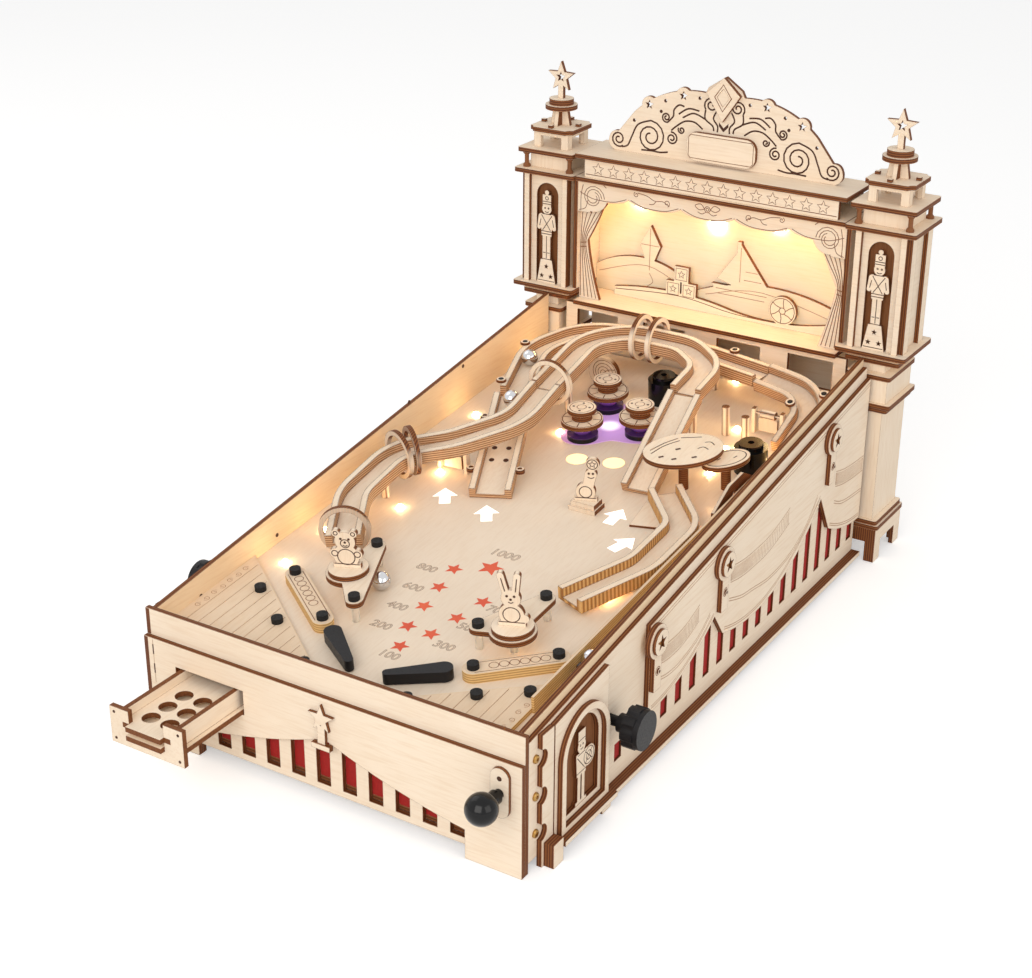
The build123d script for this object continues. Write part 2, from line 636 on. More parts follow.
VALANCE_DROP = 8.0
valance_face = rect(-STAGE_HALF, STAGE_HALF, CAPITAL_Z - VALANCE_DROP, CAPITAL_Z)
SCALLOPS = 5
scallop_step = 2 * STAGE_HALF / SCALLOPS
for i in range(SCALLOPS):
    x = -STAGE_HALF + scallop_step * (i + 0.5)
    bite = Pos(x, CAPITAL_Z - VALANCE_DROP) * Ellipse(scallop_step / 2, 5)
    valance_face += bite & rect(-STAGE_HALF, STAGE_HALF, CAPITAL_Z - 30, CAPITAL_Z)
for side in (-1, 1):
    valance_face += disc(side * (STAGE_HALF - 12), CAPITAL_Z - 10, 11)
    valance_face += rect(side * STAGE_HALF - 10, side * STAGE_HALF + 10, CAPITAL_Z - 22, CAPITAL_Z)
valance_face &= rect(-STAGE_HALF, STAGE_HALF, STAGE_Z0, CAPITAL_Z)
valance = facing_front(valance_face, VALANCE_Y)

curtain_edges = [
    Line((STAGE_HALF, STAGE_Z0), (STAGE_HALF, CAPITAL_Z)),
    Line((STAGE_HALF, CAPITAL_Z), (74, CAPITAL_Z)),
    ThreePointArc((74, CAPITAL_Z), (84, 198), (92, 182)),
    ThreePointArc((92, 182), (88, 160), (82, STAGE_Z0)),
    Line((82, STAGE_Z0), (STAGE_HALF, STAGE_Z0)),
]
curtains = both_sides(facing_front(make_face(curtain_edges), VALANCE_Y + PLY + 1))

# Scene on the stage: hills, a striped ball, stacked blocks, a kite and a sailing boat
hills = make_face(
    [
        Line((-STAGE_HALF, STAGE_Z0), (-STAGE_HALF, 158)),
        ThreePointArc((-STAGE_HALF, 158), (-58, 168), (-20, 152)),
        ThreePointArc((-20, 152), (30, 164), (STAGE_HALF, 150)),
        Line((STAGE_HALF, 150), (STAGE_HALF, STAGE_Z0)),
        Line((STAGE_HALF, STAGE_Z0), (-STAGE_HALF, STAGE_Z0)),
    ]
)
near_bank = make_face(
    [
        Line((-80, STAGE_Z0), (-80, 146)),
        ThreePointArc((-80, 146), (-30, 150), (10, 145)),
        ThreePointArc((10, 145), (50, 143), (80, 148)),
        Line((80, 148), (80, STAGE_Z0)),
        Line((80, STAGE_Z0), (-80, STAGE_Z0)),
    ]
)
near_bank += disc(48, 152, 10)
for x, z in ((-34, 147), (-22, 147), (-28, 158)):
    near_bank += rect(x - 5.5, x + 5.5, z, z + 11)
hull = outline((-2, 150), (30, 150), (36, 160), (-8, 160))
sail = outline((13, 160), (13, 190), (33, 164)) + outline((10, 160), (10, 184), (-4, 164))
hills += hull + sail + rect(10, 13, 158, 192)
hills += outline((-64, 178), (-56, 192), (-48, 178), (-56, 158))
scene_cutouts = [
    facing_front(hills, SCENE_Y - PLY, PLY),
    facing_front(near_bank, SCENE_Y - 3 * PLY, PLY),
]

PED_Z0 = HEADER_TOP_Z + PLY
pediment_half = [
    Line((0, PED_Z0), (80, PED_Z0)),
    ThreePointArc((80, PED_Z0), (85, PED_Z0 + 7), (78, PED_Z0 + 13)),
    Line((78, PED_Z0 + 13), (66, PED_Z0 + 28)),
    ThreePointArc((66, PED_Z0 + 28), (45, PED_Z0 + 42), (14, PED_Z0 + 47)),
    Line((14, PED_Z0 + 47), (12, PED_Z0 + 51)),
    Line((12, PED_Z0 + 51), (0, PEDIMENT_TOP_Z)),
    Line((0, PEDIMENT_TOP_Z), (0, PED_Z0)),
]
half_face = make_face(pediment_half)
SCROLL_BUMPS = [(79.0, 8.0), (55.0, 34.0), (30.0, 43.0)]
for x, dz in SCROLL_BUMPS:
    half_face += disc(x, PED_Z0 + dz, 5.5)
pediment_face = half_face + mirror(half_face, about=Plane.YZ)
for side in (-1, 1):
    for x, dz in SCROLL_BUMPS[1:]:
        pediment_face -= star(side * x, PED_Z0 + dz, 3.2)
    for x, dz in ((66.0, 22.0), (43.0, 38.0), (18.0, 43.0)):
        pediment_face -= disc(side * x, PED_Z0 + dz, 1.1)
DIAMOND_Z = PEDIMENT_TOP_Z - 13
pediment_face -= outline((0, DIAMOND_Z - 6), (4.5, DIAMOND_Z), (0, DIAMOND_Z + 6), (-4.5, DIAMOND_Z))
PLAQUE_HALF = 25.0
PLAQUE_Z = PED_Z0 + 11.5
plaque_face = Pos(0, PLAQUE_Z) * RectangleRounded(2 * PLAQUE_HALF, 19, 7)
crest_face = outline((0, PEDIMENT_TOP_Z), (12, DIAMOND_Z + 2), (0, DIAMOND_Z - 16), (-12, DIAMOND_Z + 2))
crest_face -= outline((0, DIAMOND_Z - 6), (4.5, DIAMOND_Z), (0, DIAMOND_Z + 6), (-4.5, DIAMOND_Z))
pediment = [
    facing_front(pediment_face, PEDIMENT_Y),
    facing_front(plaque_face, PEDIMENT_Y - PLY),
    facing_front(crest_face, PEDIMENT_Y - PLY),
]

# Playfield board with its light windows
DRAIN_HALF = 17.0
DRAIN_V0 = 7.0
DRAIN_V1 = 19.0
FLIPPER_XS = {"left": FLIPPER_MID_X - FLIPPER_SPREAD, "right": FLIPPER_MID_X + FLIPPER_SPREAD}
ARROWS = [(-59.0, 202.0, 122.0), (-25.0, 196.0, 122.0), (45.0, 228.0, 90.0), (64.0, 203.0, 72.0)]
ROUND_WINDOWS = [(-11.0, 279.0, 7.0), (12.0, 285.0, 7.0), (-14.0, 326.0, 16.0)]


def arrow_face(x, v, turn, grow=0.0):
    """A flat arrow: a triangle head on a short tail."""
    tail = rect(-9 - grow, 1, -3.5 - grow, 3.5 + grow)
    head = outline((0, -8 - grow), (10 + grow, 0), (0, 8 + grow))
    return Pos(x, v) * Rot(0, 0, turn) * (tail + head)


WINDOW_GAP = 0.1
v_front = (INSIDE_Y - FRONT_Y) / math.cos(SLOPE)
v_rear = (PLAY_END_Y - FRONT_Y) / math.cos(SLOPE)
play_face = rect(-HALF_INSIDE, HALF_INSIDE, v_front, v_rear)
lens_faces = [arrow_face(x, v, turn) for x, v, turn in ARROWS]
lens_faces += [disc(x, v, r) for x, v, r in ROUND_WINDOWS]
for x, v, turn in ARROWS:
    play_face -= arrow_face(x, v, turn, WINDOW_GAP)
for x, v, r in ROUND_WINDOWS:
    play_face -= disc(x, v, r + WINDOW_GAP)
for x in FLIPPER_XS.values():
    play_face -= disc(x, FLIPPER_V, SHAFT_R + RUN_FIT)
play_face -= rect(FLIPPER_MID_X - DRAIN_HALF, FLIPPER_MID_X + DRAIN_HALF, DRAIN_V0, DRAIN_V1)
SLOT_V0 = STRIKER_Y - FRONT_Y - PLUNGER_PULL - 6
SLOT_V1 = STRIKER_Y - FRONT_Y + 4
play_face -= rect(PLUNGER_X - 2.2, PLUNGER_X + 2.2, SLOT_V0, SLOT_V1)
playfield = on_board(play_face, -PLY, PLY)
light_windows = [on_board(face, -PLY, PLY) for face in lens_faces]

# Ribs that carry the board, cut to its slope
RIB_YS = [-60.0, 60.0, 170.0]
under_board = on_board(rect(-200, 200, -60, 600), -PLY, 200)
ribs = []
for y in RIB_YS:
    rib_face = rect(-HALF_INSIDE, HALF_INSIDE, FLOOR_Z + PLY, board_z(y) + 10)
    for x in (-70.0, 0.0, 70.0):
        rib_face -= rect(x - 22, x + 22, FLOOR_Z + PLY, board_z(y) - 22)
    ribs.append(facing_front(rib_face, y) - under_board)
runners = []
for side in (-1, 1):
    x = DRAWER_X + side * (DRAWER_HALF - PLY / 2)
    runners.append(block(x - PLY / 2, x + PLY / 2, INSIDE_Y + 1, -150, FLOOR_Z + PLY, DRAWER_Z))

# Aprons, inlane guides and the shooter lane's guide
APRON_V = v_front + 0.6
LEFT_APRON = [(-HALF_INSIDE, APRON_V), (-HALF_INSIDE, 90.0), (-14.0, 14.0), (-14.0, APRON_V)]
APRON_X1 = LANE_INNER_X - LANE_GUIDE
RIGHT_APRON = [(36.0, APRON_V), (36.0, 14.0), (APRON_X1, 64.0), (APRON_X1, APRON_V)]
INLANES = [((-80.0, 82.0), (-38.0, 52.0)), ((94.0, 82.0), (60.0, 52.0))]
aprons = [on_board(outline(*LEFT_APRON), 0, PLY), on_board(outline(*RIGHT_APRON), 0, PLY)]
for p, q in INLANES:
    aprons.append(on_board(capsule(p, q, 6.0), 0, 6.0))
LANE_V0 = 40.0
LANE_V1 = 300.0
aprons.append(on_board(rect(LANE_INNER_X - LANE_GUIDE, LANE_INNER_X, LANE_V0, LANE_V1), 0, 10))

# Rubber-capped posts
POSTS = [
    (-89.5, 62.0),
    (-61.0, 41.0),
    (-23.0, 15.5),
    (-80.0, 82.0),
    (-38.0, 52.0),
    (43.0, 15.5),
    (73.0, 35.0),
    (96.0, 50.0),
    (60.0, 52.0),
    (94.0, 82.0),
]
POST_R = 3.3
POST_HIGH = 3.2
INLANE_HIGH = 6.0
INLANE_POSTS = (3, 4, 8, 9)


def post(x, v, h0):
    """A short rubber cap that stands on a sheet at height h0."""
    return on_board(disc(x, v, POST_R), h0, POST_HIGH)


rubber_posts = []
for i, (x, v) in enumerate(POSTS):
    rubber_posts.append(post(x, v, INLANE_HIGH if i in INLANE_POSTS else PLY))

# Slingshots: a deck on legs, a round plinth and a toy animal
DECK_H = 11.0
LEFT_SLING = [(-48.0, 118.0), (-26.0, 66.0), (-46.0, 88.0)]
RIGHT_SLING = [(48.0, 76.0), (66.0, 116.0), (66.0, 82.0)]
SLING_R = 5.0
PLINTH_R = 13.0
sling_decks = []
for a, b, c in (LEFT_SLING, RIGHT_SLING):
    face = capsule(a, b, SLING_R) + capsule(b, c, SLING_R) + capsule(a, c, SLING_R)
    face += outline(a, b, c) + disc(c[0], c[1], PLINTH_R)
    sling_decks.append(on_board(face, DECK_H, PLY))
    sling_decks.append(on_board(disc(c[0], c[1], PLINTH_R - 1.5), DECK_H + PLY, PLY))
    for x, v in (a, b, c):
        sling_decks.append(on_board(disc(x, v, 2.2), 0, DECK_H))
    for x, v in (a, b):
        rubber_posts.append(post(x, v, DECK_H + PLY))

FIGURE_H = DECK_H + 2 * PLY


def upright(sketch, x, v, h, turn=0.0, thick=PLY):
    """A plate that stands square on the board at a place, turned about the board's normal."""
    place = Plane(board_at(x, v, h), x_dir=BOARD.x_dir, z_dir=BOARD.z_dir)
    slab = Rot(90, 0, 0) * Pos(0, 0, -thick / 2) * extrude(sketch, amount=thick)
    return place.location * Rot(0, 0, turn) * slab


bear = disc(0, 7.5, 7.5) + disc(0, 17, 6.0) + disc(-5, 22, 2.3) + disc(5, 22, 2.3)
bear += disc(-6.5, 9, 3) + disc(6.5, 9, 3) + rect(-8, 8, 0, 3)
rabbit = disc(0, 7, 7.0) + disc(0, 17, 5.4) + capsule((-2.5, 20), (-5, 31), 2.0)
rabbit += capsule((2.5, 20), (4, 31), 2.0) + disc(7, 5, 2.6) + rect(-7.5, 7.5, 0, 3)
seal = disc(0, 6, 6.0) + capsule((1, 8), (3, 16), 3.4) + disc(3.5, 18, 3.6) + rect(-7, 7, 0, 2.5)
seal += disc(4.5, 25, 4.2) + rect(3.4, 4.8, 18, 24)
CENTRE_FIGURE = (25.0, 229.0)
centre_plinth = [
    on_board(rect(CENTRE_FIGURE[0] - 9, CENTRE_FIGURE[0] + 9, 223.0, 235.0), 0, PLY),
    on_board(rect(CENTRE_FIGURE[0] - 8, CENTRE_FIGURE[0] + 8, 224.0, 234.0), PLY, PLY),
]
toy_figures = [
    upright(bear, LEFT_SLING[2][0], LEFT_SLING[2][1], FIGURE_H, 20),
    upright(rabbit, RIGHT_SLING[2][0], RIGHT_SLING[2][1], FIGURE_H, 20),
    upright(seal, CENTRE_FIGURE[0], CENTRE_FIGURE[1], 2 * PLY, 20),
] + centre_plinth
LOG_X = -45.0
LOG_V = 374.0
LOG_R = 11.0
log_face = disc(0, LOG_R, LOG_R)
toy_figures.append(upright(log_face, LOG_X, LOG_V, 0, 0, 4.0))

# Mushroom bumpers on black bases, and two black pots
BUMPERS = [(-27.0, 347.0), (-22.0, 305.0), (9.0, 325.0)]
BASE_R = 10.0
SKIRT_R = 13.5
CONE_H = 7.0
bumper_caps = []
bumper_bases = []
for x, v in BUMPERS:
    place = Plane(board_at(x, v, 4 + CONE_H / 2), x_dir=BOARD.x_dir, z_dir=BOARD.z_dir)
    bumper_bases.append(on_board(disc(x, v, BASE_R), 0, 4) + place.location * Cone(5.0, 10.0, CONE_H))
    skirt = on_board(disc(x, v, SKIRT_R), 4 + CONE_H, PLY) + on_board(disc(x, v, 6.5), 7 + CONE_H, 5)
    bumper_caps.append(skirt + on_board(disc(x, v, 9.2), 12 + CONE_H, PLY))
POTS = [(0.0, 374.0), (91.0, 316.0)]
POT_R = 10.5
ball_pots = []
for x, v in POTS:
    pot = on_board(disc(x, v, POT_R), 0, 16) + on_board(disc(x, v, POT_R - 3), 16, PLY)
    ball_pots.append(pot - on_board(disc(x, v, 2), 12, 10))


# Raised tracks: a floor ribbon and two side walls along a route of straights and arcs
def side_route(points, shift):
    """The route moved to its left by shift, corner by corner."""
    moved = []
    for i, p in enumerate(points):
        here = Vector(*p)
        normals = []
        for a, b in ((i - 1, i), (i, i + 1)):
            if 0 <= a and b < len(points):
                along = (Vector(*points[b]) - Vector(*points[a])).normalized()
                normals.append(Vector(-along.Y, along.X))
        middle = sum(normals[1:], normals[0]).normalized()
        moved.append(here + middle * (shift / middle.dot(normals[0])))
    return moved


def ribbon(points, radii, width):
    """A flat band of constant width along a route with rounded corners."""
    edges = []
    for side in (1, -1):
        shift = side * width / 2
        fitted = []
        for i, r in enumerate(radii):
            a, b, c = (Vector(*points[k]) for k in (i, i + 1, i + 2))
            left_turn = (b - a).cross(c - b).Z > 0
            fitted.append(r - shift if left_turn else r + shift)
        edges.append(FilletPolyline(*side_route(points, shift), radius=fitted))
    left, right = edges
    return make_face([*left.edges(), Line(left @ 1, right @ 1), *right.edges(), Line(right @ 0, left @ 0)])


def track(plane, points, radii, floor=TRACK_FLOOR):
    """A channel whose floor's top lies on the plane."""
    band = ribbon(points, radii, TRACK_WIDTH)
    groove = ribbon(points, radii, TRACK_WIDTH - 2 * TRACK_WALL)
    body = extrude(plane.offset(-floor) * band, amount=floor + TRACK_WALL_H)
    return body - extrude(plane * groove, amount=TRACK_WALL_H + 1)


def tilted(v, h, tilt):
    """A plane through a line across the board, steeper than the board by tilt."""
    angle = math.radians(PLAY_SLOPE + tilt)
    return Plane(board_at(0, v, h), x_dir=(1, 0, 0), z_dir=(0, -math.sin(angle), math.cos(angle)))


OUTER_ROUTE = [
    (-71.0, 305.0),
    (-91.0, 362.0),
    (-76.0, 402.0),
    (-40.0, 411.0),
    (16.0, 405.0),
    (60.0, 396.0),
]
OUTER_RADII = [45.0, 30.0, 60.0, 90.0]
ORBIT_V = 396.0
ORBIT_TILT = 16.0
ORBIT_ROUTE = [(61.0, -0.2), (104.6, -9.5), (103.8, -58.0)]
ORBIT_RADII = [28.0]
outer_loop = track(BOARD.offset(OUTER_LOOP_H), OUTER_ROUTE, OUTER_RADII)
orbit_plane = tilted(ORBIT_V, OUTER_LOOP_H, ORBIT_TILT)
orbit = track(orbit_plane, ORBIT_ROUTE, ORBIT_RADII)
RETURN_V = 302.0
INNER_TILT = 4.2
INNER_ROUTE = [(38.0, 30.0), (37.0, 62.0), (13.0, 80.0), (-28.0, 80.0), (-50.0, 61.0), (-46.0, 0.3)]
INNER_RADII = [24.0, 28.0, 28.0, 28.0]
inner_loop = track(tilted(RETURN_V, INNER_LOOP_H, INNER_TILT), INNER_ROUTE, INNER_RADII)
RETURN_TILT = 5.3
RETURN_ROUTE = [
    (-46.0, -0.3),
    (-42.0, -42.0),
    (-65.0, -78.0),
    (-91.0, -101.0),
    (-90.0, -150.0),
    (-68.0, -190.0),
]
RETURN_RADII = [40.0, 60.0, 32.0, 40.0]
return_track = track(tilted(RETURN_V, INNER_LOOP_H, RETURN_TILT), RETURN_ROUTE, RETURN_RADII)
RIGHT_ROUTE = [(62.5, 258.0), (91.5, 226.0), (91.5, 178.0), (72.0, 130.0)]
RIGHT_RADII = [24.0, 40.0]
right_track = track(BOARD.offset(RIGHT_TRACK_H), RIGHT_ROUTE, RIGHT_RADII)


def ramp_frame(foot, top, h):
    """The ramp's own place, with Y up the slope, and its length."""
    run = math.dist(foot, top)
    heading = math.degrees(math.atan2(top[1] - foot[1], top[0] - foot[0])) - 90
    climb = math.degrees(math.atan2(h, run))
    place = Plane(board_at(foot[0], foot[1], PLY), x_dir=BOARD.x_dir, z_dir=BOARD.z_dir)
    return place.location * Rot(0, 0, heading) * Rot(climb, 0, 0), math.hypot(run, h)


def ramp(foot, top, h, width):
    """A straight board that climbs from the playfield to height h, with low side rails."""
    place, length = ramp_frame(foot, top, h)
    board = rect(-width / 2, width / 2, 1, length)
    floor = extrude(board, amount=-PLY)
    rails = extrude(rect(-width / 2, -width / 2 + TRACK_WALL, 1, length), amount=4)
    rails += extrude(rect(width / 2 - TRACK_WALL, width / 2, 1, length), amount=4)
    piece = place * (floor + rails)
    return piece - on_board(rect(-200, 200, -60, 600), -60, 60)


ENTRY_FOOT = (-32.0, 211.0)
ENTRY_TOP = (-69.5, 300.5)
RIGHT_FOOT = (45.0, 256.0)
RIGHT_TOP = (38.5, RETURN_V + 28)
entry_ramp = ramp(ENTRY_FOOT, ENTRY_TOP, OUTER_LOOP_H - PLY, 26.0)
RAMP_TOP_H = INNER_LOOP_H + math.tan(math.radians(INNER_TILT)) * 30
right_ramp = ramp(RIGHT_FOOT, RIGHT_TOP, RAMP_TOP_H - PLY, 22.0)
track_ramps = [entry_ramp, right_ramp]

# Hoops round the tracks
HOOP_IN = 12.4
HOOP_OUT = 15.4
BACK_H = INNER_LOOP_H + math.tan(math.radians(INNER_TILT)) * 80
BACK_V = RETURN_V + 80
RETURN_FALL = math.tan(math.radians(RETURN_TILT))
HOOPS = [
    (-21.0, BACK_V, 0.0, BACK_H),
    (-9.0, BACK_V, 0.0, BACK_H),
    (-46.4, RETURN_V + 6.2, 90.0, INNER_LOOP_H),
    (-84.0, RETURN_V - 96, 52.0, INNER_LOOP_H - 96 * RETURN_FALL),
    (-88.6, RETURN_V - 103, 65.0, INNER_LOOP_H - 103 * RETURN_FALL),
    (-73.0, RETURN_V - 181, 119.0, INNER_LOOP_H - 181 * RETURN_FALL),
]
hoop_ring = Circle(HOOP_OUT) - Circle(HOOP_IN)
track_hoops = []
for x, v, turn, h in HOOPS:
    place = Plane(board_at(x, v, h + 2.5), x_dir=BOARD.x_dir, z_dir=BOARD.z_dir)
    slab = Rot(90, 0, 0) * Pos(0, 0, -PLY / 2) * extrude(hoop_ring, amount=PLY)
    track_hoops.append(place.location * Rot(0, 0, turn + 90) * slab)

# Posts under the tracks
SUPPORTS = [
    (-81.0, 333.0, OUTER_LOOP_H - TRACK_FLOOR),
    (-74.0, 397.0, OUTER_LOOP_H - TRACK_FLOOR),
    (22.0, 404.0, OUTER_LOOP_H - TRACK_FLOOR),
    (91.5, 200.0, RIGHT_TRACK_H - TRACK_FLOOR),
    (75.5, 139.0, RIGHT_TRACK_H - TRACK_FLOOR),
    (57.0, 350.0, 20.0),
    (74.0, 343.0, 20.0),
]
track_posts = [on_board(disc(x, v, 2.5), 0, h) for x, v, h in SUPPORTS]
TALL_POSTS = [(37.7, 342.0), (-47.0, 330.0)]
for x, v in TALL_POSTS:
    rise = math.tan(math.radians(INNER_TILT)) * (v - RETURN_V)
    track_posts.append(on_board(disc(x, v, 2.5), 0, INNER_LOOP_H + rise - TRACK_FLOOR - 0.3))
RETURN_POSTS = [(-91.0, 185.0), (-69.0, 114.0)]
for x, v in RETURN_POSTS:
    fall = math.tan(math.radians(RETURN_TILT)) * (RETURN_V - v)
    track_posts.append(on_board(disc(x, v, 2.5), 0, INNER_LOOP_H - fall - TRACK_FLOOR - 0.4))

# Leaf-shaped covers on posts, and the scoop's tray
COVERS = [
    (65.0, 277.0, 24.0, 25.0, 19.0, 50.0),
    (88.0, 288.0, 18.0, 16.0, 10.0, 60.0),
    (-99.5, 230.0, 8.0, 12.0, 9.0, 30.0),
]
cover_plates = []
for x, v, h, half_a, half_b, turn in COVERS:
    leaf = Pos(x, v) * Rot(0, 0, turn) * Ellipse(half_a, half_b)
    cover_plates.append(on_board(leaf, h, PLY))
    cover_plates.append(on_board(disc(x, v, 3.0), 0, h))
screen_face = outline((-25, 0), (25, 0), (25, 9), (14, 16), (-4, 16), (-25, 8)) - disc(2, 7, 3.0)
cover_plates.append(upright(screen_face, 100.2, 271.0, 0, 90, THIN))
tray_corners = [(54.0, 250.0), (58.0, 222.0), (79.0, 228.0), (72.0, 246.0)]
cover_plates.append(on_board(outline(*tray_corners), 0, 1.5))

# Hanging targets on little gallows
TARGETS = {"left": (-72.0, 232.0, 0.0), "right": (81.0, 362.0, 0.0)}
PIN_R = 0.9
EYE_R = PIN_R + 0.08
TARGET_PIN_H = 14.0
TARGET_HALF = 6.5
target_frames = []
swing_targets = {}
for name, (x, v, turn) in TARGETS.items():
    legs = rect(-11, -8.5, 0, TARGET_PIN_H + 3) + rect(8.5, 11, 0, TARGET_PIN_H + 3)
    frame = upright(legs, x, v, 0, turn, 4.0)
    place = Plane(board_at(x, v, TARGET_PIN_H), x_dir=BOARD.x_dir, z_dir=BOARD.z_dir)
    pin = place.location * Rot(0, 90, 0) * Cylinder(PIN_R, 17.0)
    frame = frame + pin
    target_frames.append(frame)
    plate = rect(-TARGET_HALF, TARGET_HALF, 2, TARGET_PIN_H - 3)
    body = upright(plate, x, v, 0, turn, THIN)
    eye = place.location * Rot(0, 90, 0) * (Cylinder(2.6, 10.0) - Cylinder(EYE_R, 12.0))
    neck_bar = upright(rect(-4, 4, TARGET_PIN_H - 4, TARGET_PIN_H - 1.6), x, v, 0, turn, THIN)
    swing_targets[name] = body + neck_bar + eye


# Flippers: a tapered bat on a shaft with a crank below the board
def flipper(side):
    """One bat with its shaft and crank, drooping at rest."""
    x = FLIPPER_XS[side]
    sign = 1 if side == "left" else -1
    angle = math.radians(-FLIPPER_DROOP)
    tip = (x + sign * FLIPPER_LENGTH * math.cos(angle), FLIPPER_V + FLIPPER_LENGTH * math.sin(angle))
    bat = disc(x, FLIPPER_V, FLIPPER_ROOT_R) + disc(tip[0], tip[1], FLIPPER_TIP_R)
    across = math.asin((FLIPPER_ROOT_R - FLIPPER_TIP_R) / FLIPPER_LENGTH)
    heading = math.atan2(tip[1] - FLIPPER_V, tip[0] - x)
    corners = []
    for centre, r, ways in (((x, FLIPPER_V), FLIPPER_ROOT_R, (1, -1)), (tip, FLIPPER_TIP_R, (-1, 1))):
        for way in ways:
            normal = heading + way * (math.pi / 2 - across)
            corners.append((centre[0] + r * math.cos(normal), centre[1] + r * math.sin(normal)))
    bat += outline(*corners)
    body = on_board(bat, 0.8, FLIPPER_THICK)
    drop = board_z(FRONT_Y + FLIPPER_V) - crank_z(side)
    body += on_board(disc(x, FLIPPER_V, SHAFT_R), -drop - 3, drop + 4)
    start = math.radians(-90 - sign * CRANK_START)
    pin = (x + CRANK_R * math.cos(start), FLIPPER_V + CRANK_R * math.sin(start))
    body += on_board(capsule((x, FLIPPER_V), pin, 3.0), -drop - 3, 3)
    return body + on_board(disc(pin[0], pin[1], 1.2), -drop - 7, 5)


def crank_z(side):
    """Height of the crank, level with that side's push rod."""
    return (LEFT_BUTTON_Z if side == "left" else RIGHT_BUTTON_Z) + 4.0


# Buttons: a scalloped knob on a rod with a push bar to the crank
def knob_profile(r, scallops=8, depth=1.1):
    """A round outline with shallow finger scallops."""
    face = Circle(r)
    for i in range(scallops):
        angle = 2 * math.pi * (i + 0.5) / scallops
        face -= disc((r + 2.5) * math.cos(angle), (r + 2.5) * math.sin(angle), depth + 2.5)
    return face


STEM_START = {"left": TRIM_X + PLY + BUTTON_TRAVEL + 1.0, "right": CAB_HALF + BUTTON_TRAVEL + 0.6}
FACE_LENGTH = 3.0
ROD_INNER = {"left": -52.0, "right": 66.0}


def button(side):
    """One push button with its rod and the flat bar that carries the crank's fork."""
    sign = -1 if side == "left" else 1
    y, z = button_hole(side)
    length = BUTTON_STEM[side] + BUTTON_HEAD[side]
    out = STEM_START[side] + length
    face = Plane(origin=(sign * out, y, z), x_dir=(0, 1, 0), z_dir=(-sign, 0, 0))
    stem = extrude(face * Circle(5.2), amount=length)
    lobes = face.offset(FACE_LENGTH) * knob_profile(BUTTON_R)
    head = extrude(lobes, amount=BUTTON_HEAD[side] - FACE_LENGTH)
    head += extrude(face * Circle(BUTTON_R - 0.6), amount=FACE_LENGTH)
    x_in = ROD_INNER[side]
    rod = extrude(face * Circle(BUTTON_ROD_R), amount=abs(sign * out - x_in))
    pivot_x = FLIPPER_XS[side]
    fork_y = FRONT_Y + FLIPPER_V - CRANK_R
    bar = rect(min(x_in, x_in + sign * 8), max(x_in, x_in + sign * 8), fork_y - 6, y + BUTTON_ROD_R)
    pin_x = pivot_x - (1 if side == "left" else -1) * CRANK_R * math.sin(math.radians(CRANK_START))
    reach = rect(min(x_in, pin_x - 5), max(x_in, pin_x + 5), fork_y - 6, fork_y + 4)
    reach -= rect(pin_x - 1.7, pin_x + 1.7, fork_y - 3, fork_y + 9)
    flat = lying(bar + reach, z - 3.5, 3)
    return stem + head + rod + flat


# Plunger: knob, rod, collar and a striker that stands up through the lane
def coil(centre_x, centre_z, y0, y1, r, wire, turns):
    """A helical spring along Y, from pairs of tangent arcs, a quarter turn each."""
    steps = 4 * turns
    rise = (y1 - y0) / steps

    def helix_point(i):
        angle = math.pi / 2 * i
        return Vector(centre_x + r * math.cos(angle), y0 + rise * i, centre_z + r * math.sin(angle))

    def helix_tangent(i):
        angle = math.pi / 2 * i
        return Vector(-r * math.sin(angle), rise / (math.pi / 2), r * math.cos(angle)).normalized()

    arcs = []
    for i in range(steps):
        p, q = helix_point(i), helix_point(i + 1)
        s, t = helix_tangent(i), helix_tangent(i + 1)
        chord = q - p
        bend = 2 * (1 - s.dot(t))
        pull = chord.dot(s + t)
        reach = (-pull + math.sqrt(pull * pull + bend * 2 * chord.dot(chord) / 2)) / bend
        joint = (p + q) * 0.5 + (s - t) * (reach / 2)
        arcs.append(TangentArc(p, joint, tangent=s))
        arcs.append(TangentArc(q, joint, tangent=t * -1))
    gap = abs(y1 - y0) / turns - 2 * wire
    print("spring: turns", turns, "least gap between turns", round(gap, 2), "mm")
    path = Wire(arcs)
    return sweep(Plane(path @ 0, z_dir=path % 0) * Circle(wire), path=path)


COLLAR_Y = -190.0
along_y = Plane(origin=(PLUNGER_X, KNOB_Y, PLUNGER_Z), x_dir=(1, 0, 0), z_dir=(0, 1, 0))
rod = extrude(along_y * Circle(PLUNGER_R), amount=STRIKER_Y - KNOB_Y + STRIKER_HALF)
knob = Pos(PLUNGER_X, KNOB_Y, PLUNGER_Z) * Sphere(KNOB_R)
knob_stem = extrude(along_y.offset(KNOB_R - 2) * Circle(4.0), amount=6)
collar_disc = extrude(along_y.offset(COLLAR_Y - KNOB_Y) * Circle(5.5), amount=PLY)
striker_top = board_z(STRIKER_Y) + 9
striker_y0 = STRIKER_Y - STRIKER_HALF
striker_y1 = STRIKER_Y + STRIKER_HALF
striker = block(PLUNGER_X - 1.5, PLUNGER_X + 1.5, striker_y0, striker_y1, PLUNGER_Z - 3, striker_top)
plunger = rod + knob + knob_stem + collar_disc + striker
SPRING_Y0 = INSIDE_Y + SPRING_WIRE + 0.1
SPRING_Y1 = COLLAR_Y - SPRING_WIRE - 0.1
plunger_spring = coil(PLUNGER_X, PLUNGER_Z, SPRING_Y0, SPRING_Y1, SPRING_R, SPRING_WIRE, SPRING_TURNS)
GUIDE_GAP = 0.5
GUIDE_Y = STRIKER_Y - STRIKER_HALF - PLUNGER_PULL - GUIDE_GAP - PLY
guide_plate = rect(PLUNGER_X - 9, HALF_INSIDE, FLOOR_Z + PLY, PLUNGER_Z + 8)
